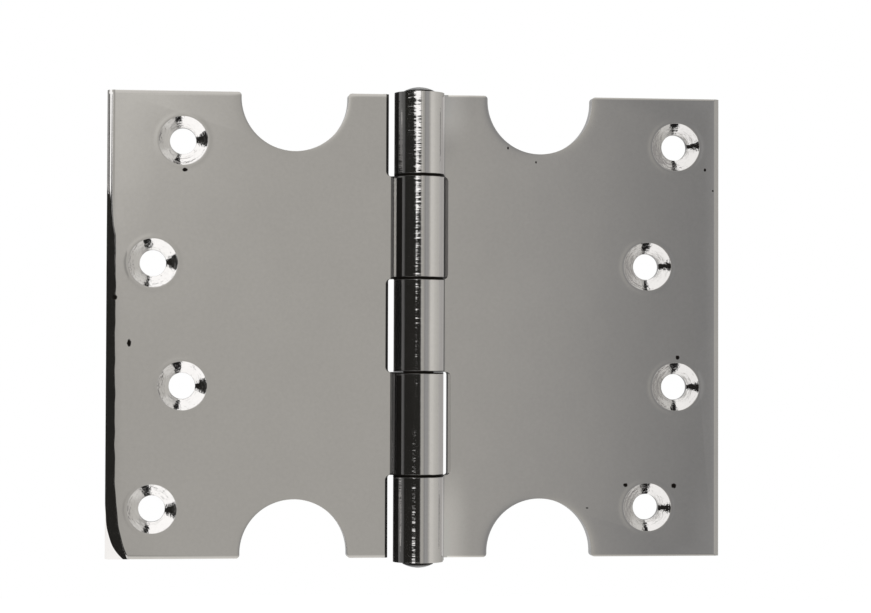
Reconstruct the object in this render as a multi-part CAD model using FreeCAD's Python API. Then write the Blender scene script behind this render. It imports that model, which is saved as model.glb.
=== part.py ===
"""Parliament hinge, 76 by 102 mm open, with five knuckles and two half-round notches in each leaf.

The pin's axis is Z and the origin is on it, halfway up the barrel. The leaves lie open flat, the
frame leaf towards +X and the door leaf towards -X, with their countersunk faces towards -Y. The
barrel's back is flush with the backs of the leaves, so the faces stand apart when the hinge is
closed. The barrel ends level with the leaves at the top and a little below them at the bottom.
"""

import FreeCAD, Part
import math
import os

# Leaves
leaf_height = 76.2
leaf_width = 50.8              # from the pin's axis to the outer edge
leaf_thickness = 2.5
outer_front_round = 1.15       # outer edge, on the countersunk side
outer_back_round = 0.35        # outer edge, on the wood side
outline_edge_break = 0.12      # sawn edges of the ends and notches, polished off
mouth_corner_radius = 0.6      # plan corners where a notch meets the end of the leaf

# Barrel
barrel_radius = 4.1
root_fillet = 0.5              # where the barrel runs into the leaf's face
end_knuckle_length = 13.5      # from the end of the leaf
bottom_knuckle_stand = 0.5     # how far the bottom knuckle stands out below the leaf
middle_knuckle_length = 15.2
knuckle_gap = 0.2
knuckle_edge_break = 0.12      # rims of the knuckles inside the barrel

# Slots, each measured from the foot of the root fillet to the slot's wall
door_slot_past_root = 0.35
upper_slot_past_root = 0.13    # in the frame leaf, sawn close to the barrel
lower_slot_past_root = 0.65    # in the frame leaf, sawn deeper
slot_corner_radius = 0.42
slot_bevel = 0.45              # along the front edge of the slot's wall

# Pin
pin_radius = 2.5
pin_running_clearance = 0.05   # in the door leaf's knuckles, which turn on it
pin_seat_clearance = 0.01      # in the frame leaf's knuckles, which hold it
pin_stand_out = 0.35           # straight part past each end of the barrel
pin_dome_height = 0.65         # dome on top of that

# Half-round notches
notch_radius = 8.75
notch_from_axis = 20.3
notch_centre_inset = 0.85      # from the end of the leaf to the centre of the arc

# Screw holes
screw_hole_radius = 2.15
countersink_radius = 4.0
countersink_angle = 105.0      # included angle of the cone, wide so that the sink is shallow
inner_hole_from_axis = 38.5
outer_hole_from_axis = 43.3
hole_pitch = 20.0
holes_per_leaf = 4

# What follows from them
half_height = leaf_height / 2
face_y = barrel_radius - leaf_thickness
back_y = barrel_radius
root_centre_y = face_y - root_fillet
root_end_x = math.sqrt((barrel_radius + root_fillet) ** 2 - root_centre_y ** 2)
barrel_half = (leaf_height + bottom_knuckle_stand) / 2
leaf_lift = bottom_knuckle_stand / 2   # from the middle of the barrel to the middle of the leaves
end_knuckle_low = half_height - end_knuckle_length
middle_knuckle_high = middle_knuckle_length / 2
side_knuckle_low = middle_knuckle_high + knuckle_gap
side_knuckle_high = end_knuckle_low - knuckle_gap
countersink_depth = (countersink_radius - screw_hole_radius) / math.tan(math.radians(countersink_angle / 2))
overrun = 1.0                  # how far a cutter runs past what it cuts
sharp_turn = 20.0              # degrees between two faces at an edge that counts as sharp

FRAME_SIDE = 1
DOOR_SIDE = -1


def vec(x, y, z=0.0):
    return FreeCAD.Vector(x, y, z)


def line(start, end):
    return Part.LineSegment(start, end).toShape()


def arc(start, middle, end):
    return Part.Arc(start, middle, end).toShape()


def corner_arc(centre, radius, from_angle, to_angle, plane="xy"):
    """Arc about centre between two angles in degrees, in the XY or the XZ plane."""
    points = []
    for share in (0.0, 0.5, 1.0):
        angle = math.radians(from_angle + share * (to_angle - from_angle))
        across = radius * math.cos(angle)
        along = radius * math.sin(angle)
        step = vec(across, along) if plane == "xy" else vec(across, 0, along)
        points.append(centre + step)
    return arc(*points)


def closed_face(edges):
    return Part.Face(Part.Wire(edges))


def leaf_section():
    """Drawn section of a leaf on the +X side: plate, barrel and the fillet between them."""
    root_angle = math.degrees(math.atan2(root_centre_y, root_end_x))
    front = outer_front_round
    back = outer_back_round

    on_barrel = corner_arc(vec(0, 0), barrel_radius, 90, 360 + root_angle)
    in_root = corner_arc(vec(root_end_x, root_centre_y), root_fillet, 180 + root_angle, 90)
    face = line(vec(root_end_x, face_y), vec(leaf_width - front, face_y))
    front_corner = corner_arc(vec(leaf_width - front, face_y + front), front, -90, 0)
    edge = line(vec(leaf_width, face_y + front), vec(leaf_width, back_y - back))
    back_corner = corner_arc(vec(leaf_width - back, back_y - back), back, 0, 90)
    back_face = line(vec(leaf_width - back, back_y), vec(0, back_y))
    return closed_face([on_barrel, in_root, face, front_corner, edge, back_corner, back_face])


def drawn_bar():
    section = leaf_section()
    section.translate(vec(0, 0, -half_height))
    return section.extrude(vec(0, 0, leaf_height))


def slot_outline(slot, widening, y):
    """Plan outline of a slot at depth y, with its two corners in the plate rounded.

    Widening moves the wall away from the barrel and opens the corners with it.
    """
    low, high, past_root = slot
    inside = -(barrel_radius + overrun)
    wall = root_end_x + past_root + widening
    radius = slot_corner_radius + widening
    turn = wall - radius
    bottom = line(vec(inside, y, low), vec(turn, y, low))
    low_corner = corner_arc(vec(turn, y, low + radius), radius, -90, 0, "xz")
    side = line(vec(wall, y, low + radius), vec(wall, y, high - radius))
    high_corner = corner_arc(vec(turn, y, high - radius), radius, 0, 90, "xz")
    top = line(vec(turn, y, high), vec(inside, y, high))
    end = line(vec(inside, y, high), vec(inside, y, low))
    return Part.Wire([bottom, low_corner, side, high_corner, top, end])


def slot_cutter(slot):
    """Room for one knuckle of the other leaf."""
    reach = barrel_radius + overrun
    outline = slot_outline(slot, 0, -reach)
    return Part.Face(outline).extrude(vec(0, 2 * reach, 0))


def slot_bevel_cutter(slot):
    """Takes the front edge off a slot's wall at 45 degrees, fading out round the corners."""
    deep = slot_outline(slot, 0, face_y + slot_bevel)
    proud = slot_outline(slot, slot_bevel + overrun, face_y - overrun)
    return Part.makeLoft([proud, deep], True, True)


def notch_cutter(end_sign):
    """U-shaped notch, open at the top of the leaf for end_sign 1 and at the bottom for -1."""
    centre_z = end_sign * (half_height - notch_centre_inset)
    mouth_z = end_sign * (half_height + overrun)
    left = notch_from_axis - notch_radius
    right = notch_from_axis + notch_radius
    deepest = vec(notch_from_axis, 0, centre_z - end_sign * notch_radius)
    bowl = arc(vec(left, 0, centre_z), deepest, vec(right, 0, centre_z))
    right_side = line(vec(right, 0, centre_z), vec(right, 0, mouth_z))
    mouth = line(vec(right, 0, mouth_z), vec(left, 0, mouth_z))
    left_side = line(vec(left, 0, mouth_z), vec(left, 0, centre_z))
    outline = closed_face([bowl, right_side, mouth, left_side])
    return outline.extrude(vec(0, back_y + overrun, 0))


def screw_hole_cutter(x, z):
    """Straight hole with a countersink on the face."""
    depth = leaf_thickness + 2 * overrun
    hole = Part.makeCylinder(screw_hole_radius, depth, vec(x, face_y - overrun, z), vec(0, 1, 0))
    slope = (countersink_radius - screw_hole_radius) / countersink_depth
    wide = countersink_radius + overrun * slope
    cone_depth = countersink_depth + overrun
    cone = Part.makeCone(wide, screw_hole_radius, cone_depth, vec(x, face_y - overrun, z), vec(0, 1, 0))
    return hole.fuse(cone)


def screw_places(side):
    """Holes from the top down, in turn in the outer and the inner column of the frame leaf.

    The door leaf starts with its inner column.
    """
    places = []
    for index in range(holes_per_leaf):
        outer_first = side == FRAME_SIDE
        in_outer_column = (index % 2 == 0) == outer_first
        x = outer_hole_from_axis if in_outer_column else inner_hole_from_axis
        z = hole_pitch * ((holes_per_leaf - 1) / 2 - index)
        places.append((x, z))
    return places


def frame_leaf_slots():
    """Low, high and depth of each slot in the frame leaf: room for knuckles 2 and 4."""
    return [
        (middle_knuckle_high, end_knuckle_low, upper_slot_past_root),
        (-end_knuckle_low, -middle_knuckle_high, lower_slot_past_root),
    ]


def door_leaf_slots():
    """Low, high and depth of each slot in the door leaf: room for knuckles 1, 3 and 5."""
    past_end = half_height + slot_corner_radius + slot_bevel + 2 * overrun
    return [
        (side_knuckle_high, past_end, door_slot_past_root),
        (-side_knuckle_low, side_knuckle_low, door_slot_past_root),
        (-past_end, -side_knuckle_high, door_slot_past_root),
    ]


def lies_on(edge, plane_test):
    """True where both ends and the middle of an edge pass the test."""
    first, last = edge.ParameterRange
    points = [edge.valueAt(first + share * (last - first)) for share in (0.0, 0.5, 1.0)]
    return all(plane_test(point) for point in points)


def near(value, target, tolerance=0.01):
    return abs(value - target) < tolerance


def round_mouth_corners(leaf):
    """Rounds the plan corners where each notch meets the end of the leaf."""
    def at_mouth(point):
        at_end = near(abs(point.z), half_height)
        at_side = near(abs(point.x - notch_from_axis), notch_radius)
        return at_end and at_side
    corners = [edge for edge in leaf.Edges if lies_on(edge, at_mouth)]
    return leaf.makeFillet(mouth_corner_radius, corners)


def is_sharp(shape, edge):
    """True where the two faces at an edge turn by more than a smooth join does."""
    faces = shape.ancestorsOfType(edge, Part.Face)
    if len(faces) != 2:
        return False
    first, last = edge.ParameterRange
    middle = edge.valueAt((first + last) / 2)
    normals = []
    for face in faces:
        across, along = face.Surface.parameter(middle)
        normals.append(face.normalAt(across, along))
    return math.degrees(normals[0].getAngle(normals[1])) > sharp_turn


def break_sawn_edges(leaf):
    """Takes the sharpness off the ends and the notches."""
    edges = [edge for edge in leaf.Edges if is_sharp(leaf, edge)]
    return leaf.makeChamfer(outline_edge_break, edges)


def knuckle_rim_cutter(z, into):
    """Turns a 45 degree edge on a knuckle's rim at z, from the back round to the root's side.

    into is 1 where the knuckle lies above its rim and -1 where it lies below.
    """
    inner = barrel_radius - knuckle_edge_break - overrun
    outer = barrel_radius + overrun
    outside = z - into * overrun
    inside = z + into * (knuckle_edge_break + overrun)
    tip = vec(inner, 0, outside)
    corner = vec(outer, 0, outside)
    far = vec(outer, 0, inside)
    section = closed_face([line(tip, corner), line(corner, far), line(far, tip)])
    return section.revolve(vec(0, 0, 0), vec(0, 0, 1), -270)


def add_bottom_stand(leaf):
    """Lengthens the bottom knuckle past the end of the leaf, with its rim broken like the rest."""
    low = -half_height - bottom_knuckle_stand
    length = bottom_knuckle_stand + end_knuckle_length / 2
    stand = Part.makeCylinder(barrel_radius, length, vec(0, 0, low))
    rim = [edge for edge in stand.Edges if lies_on(edge, lambda point: near(point.z, low))]
    stand = stand.makeChamfer(outline_edge_break, rim)
    return leaf.fuse(stand).removeSplitter()


def make_leaf(slots, screws, bore_radius, has_bottom_stand):
    """A leaf on the +X side, cut from the drawn bar. The bore and holes keep crisp edges.

    It is made about the middle of the leaves and ends in its place on the barrel.
    """
    leaf = drawn_bar()
    for end_sign in (1, -1):
        leaf = leaf.cut(notch_cutter(end_sign))
    leaf = round_mouth_corners(leaf)
    leaf = break_sawn_edges(leaf)
    if has_bottom_stand:
        leaf = add_bottom_stand(leaf)
    for slot in slots:
        leaf = leaf.cut(slot_cutter(slot))
        leaf = leaf.cut(slot_bevel_cutter(slot))
    for low, high, past_root in slots:
        if low > -half_height:
            leaf = leaf.cut(knuckle_rim_cutter(low, -1))
        if high < half_height:
            leaf = leaf.cut(knuckle_rim_cutter(high, 1))
    bore_length = 2 * (barrel_half + overrun)
    bore_start = vec(0, 0, -leaf_lift - barrel_half - overrun)
    leaf = leaf.cut(Part.makeCylinder(bore_radius, bore_length, bore_start))
    for x, z in screws:
        leaf = leaf.cut(screw_hole_cutter(x, z))
    leaf.translate(vec(0, 0, leaf_lift))
    return leaf


def make_frame_leaf():
    bore = pin_radius + pin_seat_clearance
    return make_leaf(frame_leaf_slots(), screw_places(FRAME_SIDE), bore, True)


def make_door_leaf():
    """Made on the +X side like the frame leaf, then mirrored to the -X side."""
    bore = pin_radius + pin_running_clearance
    leaf = make_leaf(door_leaf_slots(), screw_places(DOOR_SIDE), bore, False)
    return leaf.mirror(vec(0, 0, 0), vec(1, 0, 0))


def make_hinge_pin():
    """Pin that stands out a little at each end of the barrel, with a low dome on it."""
    straight_end = barrel_half + pin_stand_out
    dome_top = straight_end + pin_dome_height
    crown_radius = (pin_radius ** 2 + pin_dome_height ** 2) / (2 * pin_dome_height)
    half_angle = math.asin(pin_radius / crown_radius) / 2
    shoulder_x = crown_radius * math.sin(half_angle)
    shoulder_z = dome_top - crown_radius * (1 - math.cos(half_angle))
    side_x = pin_radius
    upper = arc(vec(0, 0, dome_top), vec(shoulder_x, 0, shoulder_z), vec(side_x, 0, straight_end))
    side = line(vec(side_x, 0, straight_end), vec(side_x, 0, -straight_end))
    lower = arc(vec(side_x, 0, -straight_end), vec(shoulder_x, 0, -shoulder_z), vec(0, 0, -dome_top))
    axis = line(vec(0, 0, -dome_top), vec(0, 0, dome_top))
    half_section = closed_face([upper, side, lower, axis])
    return half_section.revolve(vec(0, 0, 0), vec(0, 0, 1), 360)


def main():
    os.makedirs("parts", exist_ok=True)
    nodes = {
        "frame_leaf": make_frame_leaf(),
        "door_leaf": make_door_leaf(),
        "hinge_pin": make_hinge_pin(),
    }
    for name, shape in nodes.items():
        shape.exportStep(os.path.join("parts", name + ".step"))
        print(name, "valid" if shape.isValid() else "NOT VALID", len(shape.Solids), "solid",
              round(shape.Volume, 1), "mm3")


main()
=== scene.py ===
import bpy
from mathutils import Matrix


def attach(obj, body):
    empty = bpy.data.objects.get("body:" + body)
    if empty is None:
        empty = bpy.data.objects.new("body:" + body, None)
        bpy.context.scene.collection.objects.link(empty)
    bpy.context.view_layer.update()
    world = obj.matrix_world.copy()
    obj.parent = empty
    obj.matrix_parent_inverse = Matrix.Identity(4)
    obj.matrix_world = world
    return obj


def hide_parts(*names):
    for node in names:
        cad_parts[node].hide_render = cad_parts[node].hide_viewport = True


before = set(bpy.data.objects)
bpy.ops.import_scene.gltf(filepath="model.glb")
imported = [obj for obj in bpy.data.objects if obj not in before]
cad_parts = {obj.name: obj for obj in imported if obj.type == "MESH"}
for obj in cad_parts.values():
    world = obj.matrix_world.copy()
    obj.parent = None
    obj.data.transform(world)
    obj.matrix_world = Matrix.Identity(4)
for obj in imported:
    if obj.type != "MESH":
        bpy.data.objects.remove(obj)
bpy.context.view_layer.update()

import math

import bmesh
import bpy
from mathutils import Matrix, Vector

MM = 0.001

# Sizes of the hinge in millimetres, as in the CAD, but with a thinner gap between knuckles and one
# bore for both leaves
LEAF_HEIGHT = 76.2
LEAF_WIDTH = 50.8
LEAF_THICKNESS = 2.5
OUTER_FRONT_ROUND = 1.15
OUTER_BACK_ROUND = 0.35
BARREL_RADIUS = 4.1
ROOT_FILLET = 0.5
BORE_RADIUS = 2.51
END_KNUCKLE = 13.5
MIDDLE_KNUCKLE = 15.2
KNUCKLE_STAND = 0.5
KNUCKLE_GAP = 0.06
DOOR_SLOT_PAST_ROOT = 0.35
UPPER_SLOT_PAST_ROOT = 0.13
LOWER_SLOT_PAST_ROOT = 0.65
SLOT_CORNER = 0.42
SLOT_BEVEL = 0.45
NOTCH_RADIUS = 8.75
NOTCH_X = 20.3
NOTCH_INSET = 0.85
MOUTH_CORNER = 0.6
HOLE_RADIUS = 2.15
COUNTERSINK_RADIUS = 4.0
COUNTERSINK_ANGLE = 105.0
INNER_HOLE = 38.5
OUTER_HOLE = 43.3
HOLE_PITCH = 20.0
HOLES = 4

# What follows from them
HALF_HEIGHT = LEAF_HEIGHT / 2
LEAF_TOP = HALF_HEIGHT + KNUCKLE_STAND / 2
LEAF_LOW = LEAF_TOP - LEAF_HEIGHT
LEAF_MIDDLE = (LEAF_TOP + LEAF_LOW) / 2
BARREL_LOW = -LEAF_TOP
BACK_Y = BARREL_RADIUS
FACE_Y = BACK_Y - LEAF_THICKNESS
ROOT_Y = FACE_Y - ROOT_FILLET
ROOT_X = math.sqrt((BARREL_RADIUS + ROOT_FILLET) ** 2 - ROOT_Y ** 2)

# Where the frame leaf's knuckles end, from the top down
TOP_END = LEAF_TOP - END_KNUCKLE
MIDDLE_HIGH = LEAF_MIDDLE + MIDDLE_KNUCKLE / 2
MIDDLE_LOW = LEAF_MIDDLE - MIDDLE_KNUCKLE / 2
BOTTOM_END = -(TOP_END - 2 * LEAF_MIDDLE)

# How the pieces are meshed, in millimetres and degrees
EDGE_ROUND = 0.11
SHARP_TURN = 28.0
OVERRUN = 1.0
CUT_DEPTH = 6.0
CUT_LENGTH = 45.0


class Graph:
    """Short names for building a node tree."""

    def __init__(self, tree):
        self.tree = tree
        tree.nodes.clear()

    def node(self, kind, **settings):
        made = self.tree.nodes.new(kind)
        for name, value in settings.items():
            setattr(made, name, value)
        return made

    def put(self, socket, value):
        """Links a socket to another, or sets it to a plain value."""
        if isinstance(value, bpy.types.NodeSocket):
            self.tree.links.new(value, socket)
        elif value is not None:
            socket.default_value = value

    def math(self, operation, a, b=None, c=None, clamp=False):
        made = self.node("ShaderNodeMath", operation=operation, use_clamp=clamp)
        for socket, value in zip(made.inputs, (a, b, c)):
            self.put(socket, value)
        return made.outputs[0]

    def vector_math(self, operation, a, b=None):
        made = self.node("ShaderNodeVectorMath", operation=operation)
        self.put(made.inputs[0], a)
        self.put(made.inputs[1], b)
        return made.outputs["Value" if operation in ("LENGTH", "DISTANCE") else "Vector"]

    def separate(self, vector):
        made = self.node("ShaderNodeSeparateXYZ")
        self.put(made.inputs[0], vector)
        return made.outputs

    def combine(self, x, y, z):
        made = self.node("ShaderNodeCombineXYZ")
        for socket, value in zip(made.inputs, (x, y, z)):
            self.put(socket, value)
        return made.outputs[0]

    def product(self, values):
        total = values[0]
        for value in values[1:]:
            total = self.math("MULTIPLY", total, value)
        return total

    def least(self, values):
        least = values[0]
        for value in values[1:]:
            least = self.math("MINIMUM", least, value)
        return least

    def most(self, values):
        most = values[0]
        for value in values[1:]:
            most = self.math("MAXIMUM", most, value)
        return most

    def step(self, value, low, high, low_out=0.0, high_out=1.0):
        """Smooth step from low_out to high_out, as value goes from low to high."""
        made = self.node("ShaderNodeMapRange", interpolation_type="SMOOTHSTEP")
        for socket, number in zip(made.inputs[:5], (value, low, high, low_out, high_out)):
            self.put(socket, number)
        return made.outputs[0]

    def band(self, value, start, end, soft):
        """1 between start and end, fading to 0 over soft on each side."""
        rise = self.step(value, start - soft, start + soft)
        fall = self.step(value, end - soft, end + soft, 1.0, 0.0)
        return self.math("MULTIPLY", rise, fall)

    def decay(self, value, length):
        """Falls off from 1 at value 0, by a factor of e over each length."""
        return self.math("EXPONENT", self.math("MULTIPLY", value, -1 / length))

    def mix(self, share, a, b, kind="FLOAT", blend="MIX"):
        """Goes from a to b, numbers or colours."""
        made = self.node("ShaderNodeMix", data_type=kind, clamp_factor=True)
        if kind == "RGBA":
            made.blend_type = blend
        inputs = {"FLOAT": (0, 2, 3), "RGBA": (0, 6, 7)}[kind]
        for place, value in zip(inputs, (share, a, b)):
            self.put(made.inputs[place], value)
        return made.outputs[{"FLOAT": 0, "RGBA": 2}[kind]]

    def blend(self, share, a, b):
        """Goes from colour a to colour b."""
        return self.mix(share, a, b, "RGBA")

    def ramp(self, value, stops):
        """Colour ramp over stops of (position, colour)."""
        made = self.node("ShaderNodeValToRGB")
        elements = made.color_ramp.elements
        while len(elements) < len(stops):
            elements.new(1.0)
        for element, (place, colour) in zip(elements, stops):
            element.position = place
        for element, (place, colour) in zip(elements, stops):
            element.color = colour
        self.put(made.inputs[0], value)
        return made.outputs[0]

    def noise(self, vector, scale, detail=2.0, roughness=0.5):
        made = self.node("ShaderNodeTexNoise")
        self.put(made.inputs["Vector"], vector)
        made.inputs["Scale"].default_value = scale
        made.inputs["Detail"].default_value = detail
        made.inputs["Roughness"].default_value = roughness
        return made.outputs[0]

    def relief(self, vector, amount, scale, detail=2.0, roughness=0.5):
        """Noise about zero, with the amount as its whole range."""
        noise = self.noise(vector, scale, detail, roughness)
        return self.math("MULTIPLY_ADD", noise, amount, -0.5 * amount)

    def bump(self, height, normal=None):
        """The normal tilted by a height in millimetres."""
        made = self.node("ShaderNodeBump")
        made.inputs["Distance"].default_value = MM
        made.inputs["Strength"].default_value = 1.0
        self.put(made.inputs["Height"], height)
        self.put(made.inputs["Normal"], normal)
        return made.outputs[0]


def grey(value, warmth=0.0):
    """A grey of linear value, a little warm where warmth is above 0."""
    return (value * (1 + 0.03 * warmth), value, value * (1 - 0.09 * warmth), 1.0)


# The studio that the polished metal mirrors, as (azimuth, brightness, warmth). Azimuth runs in
# degrees from -Y towards +X.
HORIZON = (
    (-180, 0.40, 0.0), (-171, 0.46, 0.0), (-168, 0.38, 0.0), (-163, 0.012, 0.0),
    (-134, 0.012, 0.0), (-128, 0.16, 0.0), (-110, 0.20, 0.0), (-97, 0.13, 0.0),
    (-88, 0.125, 0.0), (-83, 0.075, 0.0), (-79, 0.018, 1.0), (-9, 0.022, 1.0),
    (-6.5, 0.085, 0.0), (-3.4, 0.42, 0.6), (-1, 0.45, 0.6), (6, 0.44, 0.6),
    (10, 0.36, 0.35), (12, 0.305, 0.1), (14, 0.285, 0.0), (17, 0.36, 0.0),
    (22, 0.355, 0.0), (27, 0.345, 0.0), (32, 0.40, 0.3), (37.5, 0.55, 0.5),
    (43, 0.69, 0.5), (56, 0.68, 0.5), (66, 0.61, 0.5), (86, 0.54, 0.5),
    (124, 0.44, 0.5), (136, 0.38, 0.5), (160, 0.40, 0.5), (180, 0.40, 0.0),
)

# The same, higher up and lower down
AROUND = (
    (-180, 0.34, 0.0), (-145, 0.14, 0.0), (-118, 0.42, 0.0), (-98, 0.86, 0.0),
    (-74, 1.15, 0.0), (-62, 0.95, 0.0), (-48, 0.56, 0.3), (-34, 0.50, 0.4),
    (-15, 0.70, 0.5), (-1, 0.70, 0.5), (8, 0.60, 0.6), (40, 0.52, 0.6),
    (68, 0.24, 0.4), (92, 0.10, 0.0), (118, 0.36, 0.0), (150, 0.62, 0.5),
    (180, 0.34, 0.0),
)

GLOW = grey(1.0, 0.5)
GLOW_SHARE = 0.42
LEFT_PANEL = grey(1.29)
RIGHT_PANEL = grey(0.42, 0.3)
RIGHT_PANEL_EDGE = grey(0.80, 0.3)
SLIT = grey(0.015)
UNLIT = 0.012


class Outlook:
    """The direction in which a ray leaves the metal: its angles in degrees, and how far it goes
    up and in depth over a length of 1.
    """

    def __init__(self, g):
        x, y, z = g.separate(g.node("ShaderNodeTexCoord").outputs["Generated"])
        self.up = z
        self.azimuth = g.math("DEGREES", g.math("ARCTAN2", x, g.math("MULTIPLY", y, -1.0)))
        self.elevation = g.math("DEGREES", g.math("ARCSINE", z))
        self.steepness = g.math("ABSOLUTE", self.elevation)
        self.roll = g.math("DEGREES", g.math("ARCTAN2", x, g.math("ABSOLUTE", z)))
        self.depth = g.math("ABSOLUTE", y)
        self.off_level = g.math("ABSOLUTE", g.math("SUBTRACT", self.elevation, 1.0))
        self.below = g.step(self.elevation, 0.5, -0.5)
        self.turn = g.math("MULTIPLY_ADD", self.azimuth, 1 / 360, 0.5)

    def ring(self, g, table):
        """Colours of a table by azimuth."""
        stops = [((angle + 180) / 360, grey(value, warmth)) for angle, value, warmth in table]
        return g.ramp(self.turn, stops)


def level_view(g, look):
    """The studio at eye level, with a glow beside the tall softbox that grows upwards."""
    climb = g.mix(g.step(look.azimuth, -6.0, -3.0), g.step(look.elevation, 3.6, 5.2),
                  g.step(look.elevation, -1.0, 8.0))
    glow = g.product((g.step(look.azimuth, 4.0, -4.0), climb, g.step(look.azimuth, -12.0, -8.0)))
    return g.blend(g.math("MULTIPLY", glow, GLOW_SHARE), look.ring(g, HORIZON), GLOW)


def steep_view(g, look):
    """Panels left and right with a dark slit between them, and the surroundings further out."""
    right = g.blend(g.step(look.depth, 0.22, 0.42), RIGHT_PANEL_EDGE, RIGHT_PANEL)
    panels = g.blend(g.step(look.roll, 14.0, 20.0), LEFT_PANEL, right)
    lower_slit = g.band(look.roll, 4.0, 27.0, 3.0)
    upper_slit = g.band(look.roll, 9.0, 22.0, 2.0)
    slit = g.mix(g.step(look.up, -0.05, 0.05), lower_slit, upper_slit)
    slit = g.math("MULTIPLY", slit, g.step(look.depth, 0.44, 0.34))
    panels = g.blend(slit, panels, SLIT)
    return g.blend(g.step(look.depth, 0.42, 0.62), panels, look.ring(g, AROUND))


def steep_share(g, look):
    """How much of the steep view shows: none in the gap at eye level, as high as its azimuth says."""
    on_right = g.step(look.azimuth, -8.0, -4.0)
    behind = g.step(look.azimuth, 150.0, 170.0)
    gap = g.mix(on_right, g.step(look.azimuth, -66.0, -74.0, 8.5, 18.0), 22.0)
    fade = g.math("MULTIPLY_ADD", g.math("MAXIMUM", on_right, behind), 14.0, 1.6)
    return g.math("DIVIDE", g.math("SUBTRACT", look.steepness, gap), fade, clamp=True)


def softbox_share(g, look):
    """The tall softbox in two halves, above and below the gap."""
    left = g.mix(look.below, g.step(look.steepness, 5.0, 8.0, -29.0, -40.0), -41.5)
    right = g.math("ADD", g.step(look.off_level, 2.4, 3.6, -24.0, -17.0),
                   g.step(look.off_level, 3.7, 4.7, 0.0, 8.2))
    right = g.mix(look.below, right, -28.0)
    low = g.step(look.elevation, 0.5, -0.5, 2.7, 5.1)
    return g.product((
        g.step(g.math("SUBTRACT", look.azimuth, left), -2.5, 2.5),
        g.step(g.math("SUBTRACT", look.azimuth, right), 1.6, -1.6),
        g.step(g.math("SUBTRACT", look.steepness, low), -0.5, 0.7),
        g.step(look.steepness, 26.0, 20.0),
    ))


def second_view(g, look):
    """What shows in metal that is itself seen in metal, evened out by the polish."""
    limit = g.step(look.off_level, 3.3, 4.3, -84.0, -54.0)
    lit = g.step(look.elevation, -1.0, -3.0, 0.26, 0.44)
    from_box = g.step(look.elevation, -1.0, 2.0, 0.12, 0.42)
    level = g.mix(g.step(g.math("SUBTRACT", look.azimuth, limit), -5.0, 5.0), lit, UNLIT)
    level = g.mix(g.step(look.azimuth, -31.0, -24.0), level, from_box)
    level = g.mix(g.step(look.azimuth, -8.0, -3.0), level, 0.60)
    level = g.mix(g.step(look.steepness, 26.0, 36.0), level, 0.30)
    return g.combine(level, level, level)


def studio(g):
    """Brightness of the studio in each direction, for rays that the metal sends out."""
    look = Outlook(g)
    seen = g.blend(steep_share(g, look), level_view(g, look), steep_view(g, look))
    seen = g.blend(softbox_share(g, look), seen, LEFT_PANEL)
    bounce = g.node("ShaderNodeLightPath").outputs["Glossy Depth"]
    return g.blend(g.step(bounce, 1.4, 1.6), seen, second_view(g, look))


def seen_in_metal(g, ray):
    """1 for the rays that the metal sends out."""
    return g.math("MAXIMUM", ray.outputs["Is Glossy Ray"], ray.outputs["Is Transmission Ray"])


def make_world():
    world = bpy.data.worlds.new("studio")
    bpy.context.scene.world = world
    world.use_nodes = True
    g = Graph(world.node_tree)
    white = (1.0, 1.0, 1.0, 1.0)
    background = g.node("ShaderNodeBackground")
    mirrored = seen_in_metal(g, g.node("ShaderNodeLightPath"))
    g.put(background.inputs["Color"], g.blend(mirrored, white, studio(g)))
    out = g.node("ShaderNodeOutputWorld")
    g.put(out.inputs["Surface"], background.outputs[0])


def floor_paint():
    """Pale paint, lifted to white for the camera. The metal mirrors the studio through it."""
    material = bpy.data.materials.new("floor")
    material.use_nodes = True
    g = Graph(material.node_tree)
    paint = g.node("ShaderNodeBsdfDiffuse")
    paint.inputs["Color"].default_value = (0.9, 0.9, 0.9, 1.0)
    lift = g.node("ShaderNodeEmission")
    lift.inputs["Strength"].default_value = 0.42
    lifted = g.node("ShaderNodeAddShader")
    g.put(lifted.inputs[0], paint.outputs[0])
    g.put(lifted.inputs[1], lift.outputs[0])
    ray = g.node("ShaderNodeLightPath")
    plain = g.node("ShaderNodeMixShader")
    g.put(plain.inputs[0], ray.outputs["Is Camera Ray"])
    g.put(plain.inputs[1], paint.outputs[0])
    g.put(plain.inputs[2], lifted.outputs[0])
    clear = g.node("ShaderNodeBsdfTransparent")
    shown = g.node("ShaderNodeMixShader")
    g.put(shown.inputs[0], seen_in_metal(g, ray))
    g.put(shown.inputs[1], plain.outputs[0])
    g.put(shown.inputs[2], clear.outputs[0])
    out = g.node("ShaderNodeOutputMaterial")
    g.put(out.inputs["Surface"], shown.outputs[0])
    return material


def make_floor():
    """A round floor below the hinge."""
    radius = 1.0
    sides = 96
    height = -0.14
    ring = []
    for index in range(sides):
        angle = 2 * math.pi * index / sides
        ring.append((radius * math.cos(angle), radius * math.sin(angle), height))
    mesh = bpy.data.meshes.new("floor")
    mesh.from_pydata(ring, [], [list(range(sides))])
    mesh.materials.append(floor_paint())
    floor = bpy.data.objects.new("floor", mesh)
    bpy.context.scene.collection.objects.link(floor)


def make_lamp():
    """A soft lamp overhead, for the shadow on the floor. The metal doesn't mirror it."""
    place = Vector((-0.2, -0.3, 0.8))
    light = bpy.data.lights.new("overhead", "AREA")
    light.shape = "DISK"
    light.size = 0.6
    light.energy = 1.0
    light.specular_factor = 0.0
    lamp = bpy.data.objects.new("overhead", light)
    lamp.location = place
    lamp.rotation_euler = place.to_track_quat("Z", "Y").to_euler()
    lamp.visible_glossy = False
    bpy.context.scene.collection.objects.link(lamp)


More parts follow.
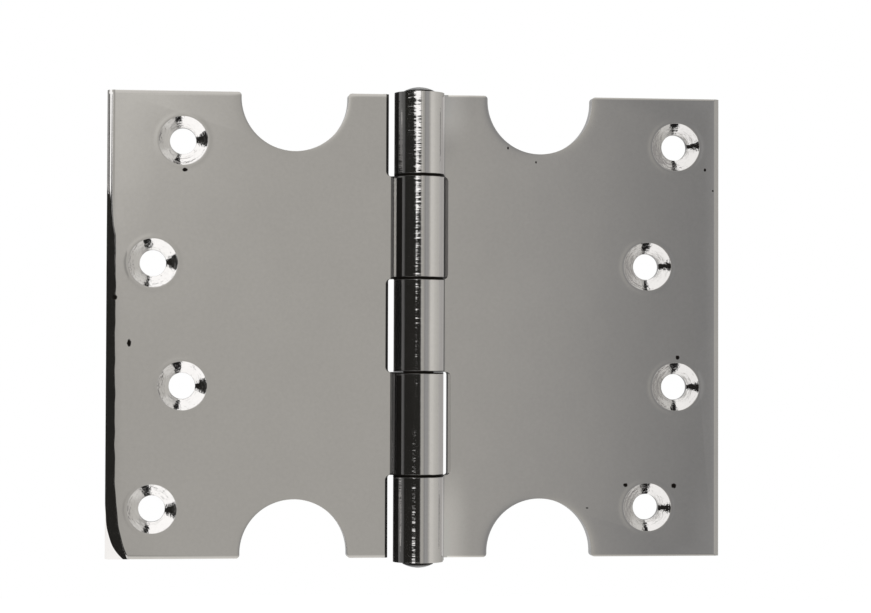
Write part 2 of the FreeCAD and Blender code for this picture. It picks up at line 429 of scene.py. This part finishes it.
def make_camera():
    """The camera at the photograph's viewing angle, from a fit of the hinge's corners and holes."""
    distance = 0.400
    azimuth = math.radians(-6.87)
    elevation = math.radians(-1.29)
    roll = math.radians(0.193)
    across, up = 2.773 * MM, 3.35 * MM
    lens_pixels = 2440.4
    image_width = 871

    view = Vector((
        -math.sin(azimuth) * math.cos(elevation),
        math.cos(azimuth) * math.cos(elevation),
        -math.sin(elevation),
    ))
    level_right = Vector((math.cos(azimuth), math.sin(azimuth), 0.0))
    level_up = level_right.cross(view)
    right = math.cos(roll) * level_right + math.sin(roll) * level_up
    top = -math.sin(roll) * level_right + math.cos(roll) * level_up

    data = bpy.data.cameras.new("camera")
    data.sensor_width = 36.0
    data.lens = lens_pixels * data.sensor_width / image_width
    data.clip_start = 0.01
    data.clip_end = 10.0
    camera = bpy.data.objects.new("camera", data)
    place = -distance * view + across * right + up * top
    turn = Matrix((right, top, -view)).transposed().to_4x4()
    camera.matrix_world = Matrix.Translation(place) @ turn
    bpy.context.scene.collection.objects.link(camera)
    bpy.context.scene.camera = camera


def hole_centres(outer_first):
    """Screw holes of a leaf on the +X side from the top down, as (x, z) in millimetres."""
    centres = []
    for index in range(HOLES):
        outer = (index % 2 == 0) == outer_first
        height = HOLE_PITCH * (1.5 - index) + LEAF_MIDDLE
        centres.append((OUTER_HOLE if outer else INNER_HOLE, height))
    return centres


SCREWS = hole_centres(True) + [(-x, z) for x, z in hole_centres(False)]

# Small dark pits in the plating, as (x, z, half width, half height) in millimetres
PITS = (
    (-38.2, 25.45, 0.36, 0.26), (-47.09, -2.8, 0.27, 0.48), (-49.42, 4.6, 0.30, 0.36),
    (14.98, 29.7, 0.13, 0.20), (19.67, 27.4, 0.10, 0.17), (48.27, 26.5, 0.17, 0.21),
    (49.6, 23.0, 0.13, 0.13), (43.62, -4.85, 0.28, 0.30), (34.85, -26.05, 0.30, 0.26),
    (43.0, -26.2, 0.34, 0.34), (28.37, -29.83, 0.18, 0.09),
)

# Heights of the painted shade between knuckles, a little on the door leaf's side of each joint
JOINT_SHIFT = 0.07
JOINTS = (
    TOP_END - JOINT_SHIFT, MIDDLE_HIGH + JOINT_SHIFT,
    MIDDLE_LOW - JOINT_SHIFT, BOTTOM_END + JOINT_SHIFT,
)
JOINT_HALF = 0.26

# The door leaf's two knuckles and the end knuckles, by distance from the leaves' middle
DOOR_KNUCKLE_MIDDLE = (TOP_END + MIDDLE_HIGH) / 2 - LEAF_MIDDLE
DOOR_KNUCKLE_HALF = (TOP_END - MIDDLE_HIGH) / 2
END_KNUCKLE_START = TOP_END - LEAF_MIDDLE

# How high the metal's marks stand in millimetres, the dish one millimetre from its middle
RINGS = 0.032
FINE_RINGS = 0.004
TURNING = 0.040
CHATTER = 0.065
COUNTERSINK_DISH = 0.05
DISH_MIDDLE = 3.1
HALO = 0.012
NOTCH_EDGE = -0.040
WAVES = 0.05
PIN_TURNING = 0.02

# How far the drawn barrel's surface is turned from round, in radians
OUT_OF_ROUND = 0.082

BARE = (0.745, 0.727, 0.712, 1.0)
# Near black: painted shade and a painted dark reflection on the leaves, the pits' own colour, and the
# pin's sides
NEAR_BLACK = (0.014, 0.012, 0.010, 1.0)
NEAR_BLACK_ROUGHNESS = 0.5


def in_millimetres(g):
    """The shaded point in the piece's own frame."""
    place = g.node("ShaderNodeTexCoord").outputs["Object"]
    return g.vector_math("MULTIPLY", place, (1 / MM, 1 / MM, 1 / MM))


def to_world(g, vector):
    made = g.node("ShaderNodeVectorTransform", vector_type="VECTOR")
    made.convert_from, made.convert_to = "OBJECT", "WORLD"
    g.put(made.inputs[0], vector)
    return made.outputs[0]


def own_normal(g, normal):
    """The normal in the piece's own frame."""
    made = g.node("ShaderNodeVectorTransform", vector_type="NORMAL")
    made.convert_from, made.convert_to = "WORLD", "OBJECT"
    g.put(made.inputs[0], normal)
    return made.outputs[0]


def turned_about_z(g, normal, angle):
    """The normal turned about the pin's direction by an angle in radians."""
    made = g.node("ShaderNodeVectorRotate", rotation_type="Z_AXIS")
    g.put(made.inputs["Vector"], own_normal(g, normal))
    g.put(made.inputs["Angle"], angle)
    return g.vector_math("NORMALIZE", to_world(g, made.outputs[0]))


def steer(g, normal, share, azimuth, elevation=0.0):
    """Turns the normal, where share is 1, to look along azimuth and elevation in the piece's frame.

    Azimuth runs in degrees from -Y towards +X.
    """
    turn, lift = math.radians(azimuth), math.radians(elevation)
    flat = math.cos(lift)
    target = to_world(g, (math.sin(turn) * flat, -math.cos(turn) * flat, math.sin(lift)))
    made = g.node("ShaderNodeMix", data_type="VECTOR", factor_mode="UNIFORM", clamp_factor=True)
    g.put(made.inputs[0], share)
    g.put(made.inputs[4], normal)
    g.put(made.inputs[5], target)
    return g.vector_math("NORMALIZE", made.outputs[1])


class LeafPoint:
    """A point on a leaf's surface in millimetres, and its share in the leaf's regions."""

    def __init__(self, g):
        self.place = in_millimetres(g)
        self.x, self.y, self.z = g.separate(self.place)
        self.normal = g.node("ShaderNodeNewGeometry").outputs["Normal"]
        self.own_y = g.separate(own_normal(g, self.normal))[1]
        self.reach = g.math("ABSOLUTE", self.x)
        self.rise = g.math("ABSOLUTE", self.z)
        self.radius = g.vector_math("LENGTH", g.combine(self.x, self.y, 0.0))
        self.upper = g.step(self.z, -1.0, 1.0)
        self.front = g.step(self.y, FACE_Y + 0.6, FACE_Y + 0.3)
        round_back = FACE_Y + OUTER_FRONT_ROUND
        self.front_and_round = g.step(self.y, round_back + 0.2, round_back - 0.1)
        on_barrel = g.step(self.radius, BARREL_RADIUS + 0.4, BARREL_RADIUS + 0.1)
        self.barrel = g.math("MULTIPLY", on_barrel, g.step(self.y, FACE_Y + 0.3, FACE_Y - 0.4))
        from_knuckle = g.math("ABSOLUTE", g.math("SUBTRACT", self.rise, DOOR_KNUCKLE_MIDDLE))
        self.door_knuckle = g.step(from_knuckle, DOOR_KNUCKLE_HALF - 0.1, DOOR_KNUCKLE_HALF - 0.4)
        self.from_middle = g.math("ABSOLUTE", g.math("SUBTRACT", self.z, LEAF_MIDDLE))
        self.from_screw = g.least([
            g.vector_math("DISTANCE", g.combine(self.x, self.z, 0.0), (x, z, 0.0))
            for x, z in SCREWS
        ])
        self.past_rim = g.step(self.from_screw, COUNTERSINK_RADIUS - 0.05, COUNTERSINK_RADIUS + 0.05)
        self.in_rim = g.step(self.from_screw, COUNTERSINK_RADIUS + 0.05, COUNTERSINK_RADIUS - 0.05)


def turned_rings(g, at):
    """Fine turned lines round the barrel."""
    around = g.vector_math("MULTIPLY", at.place, (0.16, 0.16, 1.0))
    coarse = g.relief(around, RINGS, scale=0.85, detail=3.0, roughness=0.6)
    fine = g.relief(around, FINE_RINGS, scale=3.6, detail=2.0, roughness=0.6)
    return g.math("MULTIPLY", g.math("ADD", coarse, fine), at.barrel)


def countersink_marks(g, at):
    """Tool marks in the countersinks, each a little dished, and the polished-in halo round it."""
    rings = g.combine(at.from_screw, g.math("MULTIPLY", at.x, 0.12), g.math("MULTIPLY", at.z, 0.12))
    turned = g.relief(rings, TURNING, scale=2.1, detail=3.0, roughness=0.6)
    chatter = g.relief(at.place, CHATTER, scale=0.9, detail=3.0, roughness=0.6)
    off_middle = g.math("SUBTRACT", at.from_screw, DISH_MIDDLE)
    dish = g.product((off_middle, off_middle, COUNTERSINK_DISH))
    marks = g.math("ADD", g.math("ADD", turned, chatter), dish)
    cone = g.band(at.own_y, -0.94, -0.3, soft=0.02)
    marks = g.product((marks, at.in_rim, cone))
    off_halo = g.math("SUBTRACT", at.from_screw, COUNTERSINK_RADIUS + 0.2)
    off_halo = g.math("MULTIPLY", off_halo, 2.4)
    halo = g.math("EXPONENT", g.product((off_halo, off_halo, -1.0)))
    halo = g.product((halo, at.past_rim, at.front, HALO))
    return g.math("ADD", marks, halo)


def notch_fall(g, at):
    """The face falling away to the edge of a notch."""
    centre = (NOTCH_X, HALF_HEIGHT - NOTCH_INSET, 0.0)
    distance = g.vector_math("DISTANCE", g.combine(at.reach, at.from_middle, 0.0), centre)
    fall = g.decay(g.math("SUBTRACT", distance, NOTCH_RADIUS), length=0.42)
    return g.product((fall, g.step(at.own_y, -0.3, -0.6), at.front, NOTCH_EDGE))


def leaf_relief(g, at):
    """Height of the surface's marks and waves in millimetres."""
    marks = g.math("ADD", countersink_marks(g, at), notch_fall(g, at))
    waves = g.relief(at.place, WAVES, scale=0.055)
    return g.math("ADD", g.math("ADD", turned_rings(g, at), marks), waves)


def softened_ends(g, at, normal):
    """The sawn ends, softened over the last half millimetre or so."""
    from_end = g.math("SUBTRACT", HALF_HEIGHT, at.from_middle)
    width = g.step(at.x, -2.0, 2.0, low_out=0.75, high_out=0.42)
    share = g.product((
        g.math("SUBTRACT", 1.0, g.math("DIVIDE", from_end, width), clamp=True),
        g.step(from_end, -0.2, 0.0),
        g.step(at.reach, 4.9, 5.1),
        g.step(at.own_y, -0.35, -0.65),
    ))
    lower = g.step(at.z, 1.0, -1.0)
    normal = steer(g, normal, g.math("MULTIPLY", share, at.upper), azimuth=-5.0, elevation=27.0)
    return steer(g, normal, g.math("MULTIPLY", share, lower), azimuth=-5.0, elevation=-27.0)


def door_leaf_edge(g, at, normal):
    """The door leaf's outer edge, rolled over and dark below, with a pale tip at its bottom corner.

    Above, the edge shows a bright line between two darker ones.
    """
    front = at.front_and_round
    inward = g.math("ADD", at.x, LEAF_WIDTH)
    up = g.math("SUBTRACT", at.z, LEAF_LOW)
    wobble = g.relief(g.combine(0.0, 0.0, at.z), 0.5, scale=0.22, detail=1.0)
    bent = g.math("ADD", inward, wobble)
    width = g.math("MULTIPLY_ADD", g.decay(up, length=4.5), 2.45, 1.28)
    limit = g.math("ADD", g.step(at.z, 26.0, 12.0, -0.3, 1.45), g.step(at.z, 2.0, -8.0, 0.0, 6.0))
    width = g.math("MINIMUM", width, limit)
    rolled = g.step(g.math("SUBTRACT", width, bent), -0.26, 0.14)
    rolled = g.product((rolled, g.step(at.z, 26.0, 24.0), front))
    normal = steer(g, normal, rolled, azimuth=-29.0)
    tip_width = g.math("MULTIPLY_ADD", g.decay(up, length=2.6), 3.1, -0.1)
    tip = g.math("MULTIPLY", g.step(g.math("SUBTRACT", tip_width, bent), -0.2, 0.2), front)
    normal = steer(g, normal, tip, azimuth=-14.0, elevation=-5.0)

    high = g.product((g.step(at.z, 13.0, 24.0), front, g.math("SUBTRACT", 1.0, rolled)))
    outer = g.math("MULTIPLY", g.step(inward, 0.34, 0.24), high)
    normal = steer(g, normal, outer, azimuth=6.5)
    bright = g.math("MULTIPLY", g.band(inward, 0.40, 0.72, soft=0.08), high)
    normal = steer(g, normal, bright, azimuth=-11.5)
    beside = g.product((g.band(inward, 0.88, 1.25, soft=0.12), high, 0.8))
    return steer(g, normal, beside, azimuth=5.5)


def frame_leaf_edge(g, at, normal):
    """The frame leaf's outer edge, which catches the light from the right."""
    outward = g.math("SUBTRACT", LEAF_WIDTH, at.x)
    strip = g.product((g.step(outward, 0.95, 0.80), g.step(outward, 0.14, 0.24), at.front_and_round))
    return steer(g, normal, strip, azimuth=11.5)


def rubbed_share(g, at):
    """The frame leaf's slot edges, rubbed nearly flush with its face."""
    return g.product((
        g.band(at.own_y, -0.92, -0.45, soft=0.03),
        g.step(at.x, 4.4, 4.6),
        g.step(at.x, 6.2, 6.0),
        g.step(at.radius, 4.76, 4.82),
        g.step(at.z, 4.0, -4.0, 0.38, 0.92),
    ))


def leaf_normal(g, at, rubbed):
    """The surface's direction: a drawn barrel a little out of round, and edges worn by polishing."""
    normal = turned_about_z(g, at.normal, g.product((at.barrel, at.own_y, OUT_OF_ROUND)))
    normal = softened_ends(g, at, normal)
    normal = door_leaf_edge(g, at, normal)
    normal = frame_leaf_edge(g, at, normal)
    normal = steer(g, normal, rubbed, azimuth=1.0)

    # A thin light line up the higher of the door leaf's knuckles, where it runs into the leaf
    light_line = g.product((g.step(at.x, -3.84, -3.90), at.barrel, at.door_knuckle,
                            g.step(at.y, 1.0, 0.6), at.upper))
    return steer(g, normal, light_line, azimuth=0.9)


def joint_painted_shade(g, at):
    """Painted shade in the lines where two knuckles meet."""
    squeezed = g.vector_math("MULTIPLY", at.place, (0.5, 0.5, 0.2))
    height = g.math("ADD", at.z, g.relief(squeezed, 0.16, scale=1.3))
    lines = [g.band(height, joint - JOINT_HALF, joint + JOINT_HALF, soft=0.06) for joint in JOINTS]
    return g.math("MULTIPLY", g.most(lines), g.step(at.radius, 4.9, 4.6))


def slot_painted_shade(g, at, rubbed):
    """Painted shade on the sawn slot walls, less where their edges are rubbed."""
    walls = g.product((g.step(at.reach, 5.9, 5.8), g.step(at.radius, 4.75, 4.85),
                       g.step(at.own_y, -0.95, -0.88)))
    return g.math("MULTIPLY", walls, g.mix(g.math("MULTIPLY", rubbed, 0.9), 0.9, 0.05))


def root_painted_shade(g, at):
    """Painted shade where the barrel runs into the leaf, on both of its sides."""
    on_right = g.step(at.rise, 12.0, 8.0, 0.12, 0.75)
    amount = g.mix(g.step(at.x, -1.0, 1.0), 0.80, on_right)
    return g.product((g.band(at.radius, 4.34, 4.76, soft=0.05), g.step(at.y, 0.9, 1.2), amount))


def barrel_painted_reflection(g, at):
    """A painted dark reflection on the barrel's left, beside the root and beside the end slots."""
    by_root = g.product((g.band(at.x, -3.83, -3.04, soft=0.05), at.barrel, at.door_knuckle, 0.98))
    end = g.step(at.z, -1.0, 1.0, -3.42, -3.58)
    by_slot = g.product((
        g.step(at.x, -4.05, -3.95),
        g.step(g.math("SUBTRACT", at.x, end), 0.05, -0.05),
        at.barrel,
        g.step(at.rise, END_KNUCKLE_START - 0.2, END_KNUCKLE_START + 0.2),
        0.97,
    ))
    return g.math("MAXIMUM", by_root, by_slot)


def pit_share(g, at):
    """Small dark pits, uneven in outline."""
    spots = []
    for across, along, width, height in PITS:
        u = g.math("MULTIPLY_ADD", at.x, 1 / width, -across / width)
        w = g.math("MULTIPLY_ADD", at.z, 1 / height, -along / height)
        spots.append(g.vector_math("LENGTH", g.combine(u, w, 0.0)))
    warp = g.relief(g.combine(at.x, at.z, 0.0), 0.9, scale=2.6)
    distance = g.math("ADD", g.least(spots), warp)
    return g.math("MULTIPLY", g.step(distance, 1.45, 0.95), at.front)


def plate_colour_and_painted_light(g, at):
    """Bare plate, a little uneven, with painted shade darker to the right and painted highlights at the
    frame leaf's ends.
    """
    tone = g.relief(at.place, 0.09, scale=1.7, detail=3.0, roughness=0.7)
    patch = g.relief(at.place, 0.06, scale=0.10)
    near_root = g.math("MULTIPLY", g.step(at.x, 9.5, 5.0), g.step(at.x, 3.9, 4.3))
    # Painted highlights on the frame leaf's face beside the barrel, towards its top and bottom ends
    ends = g.math("MAXIMUM", g.step(at.z, -21.0, -32.0, 0.0, 0.37), g.step(at.z, 29.0, 35.0, 0.0, 0.36))
    painted_highlight_ends = g.math("MULTIPLY", near_root, ends)
    # Painted shade, darker towards the right
    shade = g.step(at.x, 18.0, 52.0, low_out=1.0, high_out=0.845)
    level = g.math("ADD", g.math("ADD", tone, patch), g.math("ADD", painted_highlight_ends, shade))
    return g.mix(1.0, BARE, g.combine(level, level, level), "RGBA", "MULTIPLY")


def metal(name):
    """A new metal material, with its graph and its shader node."""
    material = bpy.data.materials.new(name)
    material.use_nodes = True
    g = Graph(material.node_tree)
    shader = g.node("ShaderNodeBsdfPrincipled")
    shader.inputs["Metallic"].default_value = 1.0
    out = g.node("ShaderNodeOutputMaterial")
    g.put(out.inputs["Surface"], shader.outputs[0])
    return material, g, shader


def plated_metal():
    """Polished plate over drawn brass, with what the polishing wheel and the tools left on it."""
    material, g, shader = metal("plated_leaf")
    at = LeafPoint(g)
    rubbed = rubbed_share(g, at)
    pits = pit_share(g, at)
    # Painted shade in the knuckle joints, slot walls and roots, and a painted dark reflection on the
    # barrel
    painted_shade = g.most((joint_painted_shade(g, at), slot_painted_shade(g, at, rubbed), root_painted_shade(g, at), barrel_painted_reflection(g, at)))
    dull = g.math("MAXIMUM", painted_shade, g.step(pits, 0.75, 1.0))
    wear = g.math("MULTIPLY_ADD", g.noise(at.place, scale=0.5, detail=3.0), 0.07, 0.03)
    # The pits in their own near-black colour, and the painted shade and reflection in the same near
    # black
    colour = g.blend(g.math("MAXIMUM", painted_shade, pits), plate_colour_and_painted_light(g, at), NEAR_BLACK)
    g.put(shader.inputs["Base Color"], colour)
    g.put(shader.inputs["Roughness"], g.mix(dull, wear, NEAR_BLACK_ROUGHNESS))
    g.put(shader.inputs["Normal"], g.bump(leaf_relief(g, at), leaf_normal(g, at, rubbed)))
    return material


def steel():
    """Bright drawn rod, sawn and dressed at its ends, near black round its sides."""
    material, g, shader = metal("steel_pin")
    place = in_millimetres(g)
    x, y, z = g.separate(place)
    radius = g.vector_math("LENGTH", g.combine(x, y, 0.0))
    side = g.step(g.math("ADD", radius, g.step(z, 1.0, -1.0, 0.0, 0.30)), 2.30, 2.46)
    rings = g.combine(radius, g.math("MULTIPLY", x, 0.1), g.math("MULTIPLY", y, 0.1))
    tone = g.math("ADD", g.math("MULTIPLY", g.noise(place, scale=1.5, detail=3.0), 0.30), 0.42)
    wear = g.math("MULTIPLY_ADD", g.noise(place, scale=0.9), 0.15, 0.2)
    g.put(shader.inputs["Base Color"], g.blend(side, g.combine(tone, tone, tone), NEAR_BLACK))
    g.put(shader.inputs["Roughness"], wear)
    g.put(shader.inputs["Normal"], g.bump(g.relief(rings, PIN_TURNING, scale=2.2, detail=3.0)))
    return material


def arc_points(centre, radius, start, end, steps):
    """Points on an arc between two angles in degrees, with both ends."""
    points = []
    for index in range(steps + 1):
        angle = math.radians(start + (end - start) * index / steps)
        points.append((centre[0] + radius * math.cos(angle), centre[1] + radius * math.sin(angle)))
    return points


def drop_repeats(points):
    """The closed outline without points that lie on the one before."""
    same = 1e-5
    kept = []
    for point in points:
        if not kept or math.dist(point, kept[-1]) > same:
            kept.append(point)
    if math.dist(kept[0], kept[-1]) < same:
        kept.pop()
    return kept


def leaf_section():
    """Drawn section of the leaf on the +X side, as (x, y) points."""
    root_angle = math.degrees(math.atan2(ROOT_Y, ROOT_X))
    front, back = OUTER_FRONT_ROUND, OUTER_BACK_ROUND
    points = arc_points((0, 0), BARREL_RADIUS, 90, 360 + root_angle, steps=200)
    points += arc_points((ROOT_X, ROOT_Y), ROOT_FILLET, 180 + root_angle, 90, steps=12)
    points += arc_points((LEAF_WIDTH - front, FACE_Y + front), front, -90, 0, steps=16)
    points += arc_points((LEAF_WIDTH - back, BACK_Y - back), back, 0, 90, steps=6)
    return drop_repeats(points)


def solid(name, rings):
    """Closed mesh through two or more rings of points in millimetres, capped at both ends."""
    bm = bmesh.new()
    made = [[bm.verts.new(Vector(point) * MM) for point in ring] for ring in rings]
    count = len(made[0])
    for low_ring, high_ring in zip(made, made[1:]):
        for index in range(count):
            after = (index + 1) % count
            bm.faces.new((low_ring[index], low_ring[after], high_ring[after], high_ring[index]))
    bm.faces.new(made[0][::-1])
    bm.faces.new(made[-1])
    bmesh.ops.recalc_face_normals(bm, faces=bm.faces)
    mesh = bpy.data.meshes.new(name)
    bm.to_mesh(mesh)
    bm.free()
    made_object = bpy.data.objects.new(name, mesh)
    bpy.context.scene.collection.objects.link(made_object)
    return made_object


def upright_prism(name, outline, low_z, high_z):
    """Prism over an outline of (x, y) points."""
    return solid(name, [[(x, y, z) for x, y in outline] for z in (low_z, high_z)])


def flat_cutter(outline, low_y, high_y):
    """Prism over an outline of (x, z) points."""
    outline = drop_repeats(outline)
    return solid("cut", [[(x, y, z) for x, z in outline] for y in (low_y, high_y)])


def slot_outline(low, high, wall, widening=0.0):
    """A slot from low to high with rounded corners at its wall, as (x, z) points."""
    inside = -(BARREL_RADIUS + OVERRUN)
    radius = SLOT_CORNER + widening
    turn = wall + widening - radius
    points = [(inside, low)]
    points += arc_points((turn, low + radius), radius, -90, 0, steps=12)
    points += arc_points((turn, high - radius), radius, 0, 90, steps=12)
    points.append((inside, high))
    return points


def slot_cutter(low, high, wall):
    """A slot through barrel and leaf, for the other leaf's knuckle."""
    return flat_cutter(slot_outline(low, high, wall), -CUT_DEPTH, CUT_DEPTH)


def slot_bevel_cutter(low, high, wall):
    """The bevel along a slot's front edge, as a cutter that narrows inwards."""
    wide = slot_outline(low, high, wall, SLOT_BEVEL + OVERRUN)
    narrow = slot_outline(low, high, wall)
    proud = [(x, FACE_Y - OVERRUN, z) for x, z in wide]
    deep = [(x, FACE_Y + SLOT_BEVEL, z) for x, z in narrow]
    return solid("cut", [proud, deep])


def notch_cutter(up):
    """Half-round notch with its mouth corners rounded. up is 1 at the top and -1 at the bottom."""
    past = 2.0
    middle = up * (HALF_HEIGHT - NOTCH_INSET)
    end = up * HALF_HEIGHT
    left, right = NOTCH_X - NOTCH_RADIUS, NOTCH_X + NOTCH_RADIUS
    corner = MOUTH_CORNER
    points = arc_points((NOTCH_X, middle), NOTCH_RADIUS, 180, 180 + up * 180, steps=96)
    points += arc_points((right + corner, end - up * corner), corner, 180, 180 - up * 90, steps=8)
    points += [(right + corner, end + up * past), (left - corner, end + up * past)]
    points += arc_points((left - corner, end - up * corner), corner, up * 90, 0, steps=8)
    return flat_cutter([(x, z + LEAF_MIDDLE) for x, z in points], 0.0, CUT_DEPTH)


def screw_cutter(x, z):
    """Countersunk hole, turned about its axis."""
    slope = math.tan(math.radians(COUNTERSINK_ANGLE / 2))
    depth = (COUNTERSINK_RADIUS - HOLE_RADIUS) / slope
    stations = (
        (FACE_Y - OVERRUN, COUNTERSINK_RADIUS + OVERRUN * slope),
        (FACE_Y + depth, HOLE_RADIUS),
        (BACK_Y + OVERRUN, HOLE_RADIUS),
    )
    rings = []
    for y, radius in stations:
        circle = arc_points((x, z), radius, 0, 360, steps=128)[:-1]
        rings.append([(across, y, along) for across, along in circle])
    return solid("cut", rings)


def bore_cutter():
    """The pin's bore, right through the barrel."""
    circle = arc_points((0, 0), BORE_RADIUS, 0, 360, steps=96)[:-1]
    return upright_prism("cut", circle, -CUT_LENGTH, CUT_LENGTH)


def below_leaf_cutter():
    """Cuts the leaf to its height, beside the bottom knuckle that stands out below it."""
    past_leaf = 60.0
    past_knuckle = 3.0
    near = [(past_leaf, CUT_DEPTH), (ROOT_X, CUT_DEPTH)]
    far = [(ROOT_X, -CUT_DEPTH), (past_leaf, -CUT_DEPTH)]
    return upright_prism("cut", far + near, LEAF_LOW - past_knuckle, LEAF_LOW)


def evaluated_mesh(made):
    """A new mesh of the object with its modifiers applied."""
    depsgraph = bpy.context.evaluated_depsgraph_get()
    depsgraph.update()
    return bpy.data.meshes.new_from_object(made.evaluated_get(depsgraph), depsgraph=depsgraph)


def cut_away(piece, cutters):
    """Cuts a group of cutters, none touching another, from the piece."""
    first = cutters[0]
    for cutter in cutters[1:]:
        bm = bmesh.new()
        bm.from_mesh(first.data)
        bm.from_mesh(cutter.data)
        bm.to_mesh(first.data)
        bm.free()
        bpy.data.objects.remove(cutter)
    boolean = piece.modifiers.new("cut", "BOOLEAN")
    boolean.operation = "DIFFERENCE"
    boolean.solver = "EXACT"
    boolean.object = first
    piece.data = evaluated_mesh(piece)
    piece.modifiers.clear()
    bpy.data.objects.remove(first)


def round_edges(piece):
    """Small even rounds on every sharp edge, with the flats' normals kept flat."""
    bevel = piece.modifiers.new("rounds", "BEVEL")
    bevel.limit_method = "ANGLE"
    bevel.angle_limit = math.radians(SHARP_TURN)
    bevel.width = EDGE_ROUND * MM
    bevel.segments = 2
    bevel.use_clamp_overlap = True
    bevel.harden_normals = True
    bevel.miter_outer = "MITER_ARC"
    piece.data.polygons.foreach_set("use_smooth", [True] * len(piece.data.polygons))
    piece.data.set_sharp_from_angle(angle=math.radians(SHARP_TURN))
    piece.data = evaluated_mesh(piece)
    piece.modifiers.clear()


def mirror_x(piece):
    """Turns a piece made on the +X side into one on the -X side."""
    bm = bmesh.new()
    bm.from_mesh(piece.data)
    for vertex in bm.verts:
        vertex.co.x = -vertex.co.x
    bmesh.ops.reverse_faces(bm, faces=bm.faces)
    bm.to_mesh(piece.data)
    bm.free()


def make_leaf(name, slots, outer_hole_first, low):
    """A leaf on the +X side, with its barrel down to low. slots are (low, high, wall)."""
    piece = upright_prism(name, leaf_section(), low, LEAF_TOP)
    if low < LEAF_LOW:
        cut_away(piece, [below_leaf_cutter()])
    cut_away(piece, [slot_cutter(*slot) for slot in slots])
    cut_away(piece, [notch_cutter(1), notch_cutter(-1)])
    cut_away(piece, [screw_cutter(x, z) for x, z in hole_centres(outer_hole_first)])
    cut_away(piece, [slot_bevel_cutter(*slot) for slot in slots])
    cut_away(piece, [bore_cutter()])
    round_edges(piece)
    return piece


def make_leaves():
    """Both leaves, each sawn out where the other's knuckles turn."""
    past = LEAF_TOP + 4.0
    door_wall = ROOT_X + DOOR_SLOT_PAST_ROOT
    frame_slots = [
        (MIDDLE_HIGH, TOP_END, ROOT_X + UPPER_SLOT_PAST_ROOT),
        (BOTTOM_END, MIDDLE_LOW, ROOT_X + LOWER_SLOT_PAST_ROOT),
    ]
    door_slots = [
        (TOP_END - KNUCKLE_GAP, past, door_wall),
        (MIDDLE_LOW - KNUCKLE_GAP, MIDDLE_HIGH + KNUCKLE_GAP, door_wall),
        (-past, BOTTOM_END + KNUCKLE_GAP, door_wall),
    ]
    frame_piece = make_leaf("frame_leaf_metal", frame_slots, outer_hole_first=True, low=BARREL_LOW)
    door_piece = make_leaf("door_leaf_metal", door_slots, outer_hole_first=False, low=LEAF_LOW)
    mirror_x(door_piece)
    return frame_piece, door_piece


def dress():
    """Puts the metal on the leaves, and the leaves and the pin in their places."""
    plate = plated_metal()
    frame_piece, door_piece = make_leaves()
    for piece, node, body in ((frame_piece, "frame_leaf", "frame"), (door_piece, "door_leaf", "door")):
        piece.data.materials.clear()
        piece.data.materials.append(plate)
        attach(piece, body)
        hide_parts(node)
    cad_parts["hinge_pin"].material_slots[0].material = steel()


bpy.context.scene.view_settings.view_transform = "Standard"
make_world()
make_floor()
make_lamp()
make_camera()
dress()
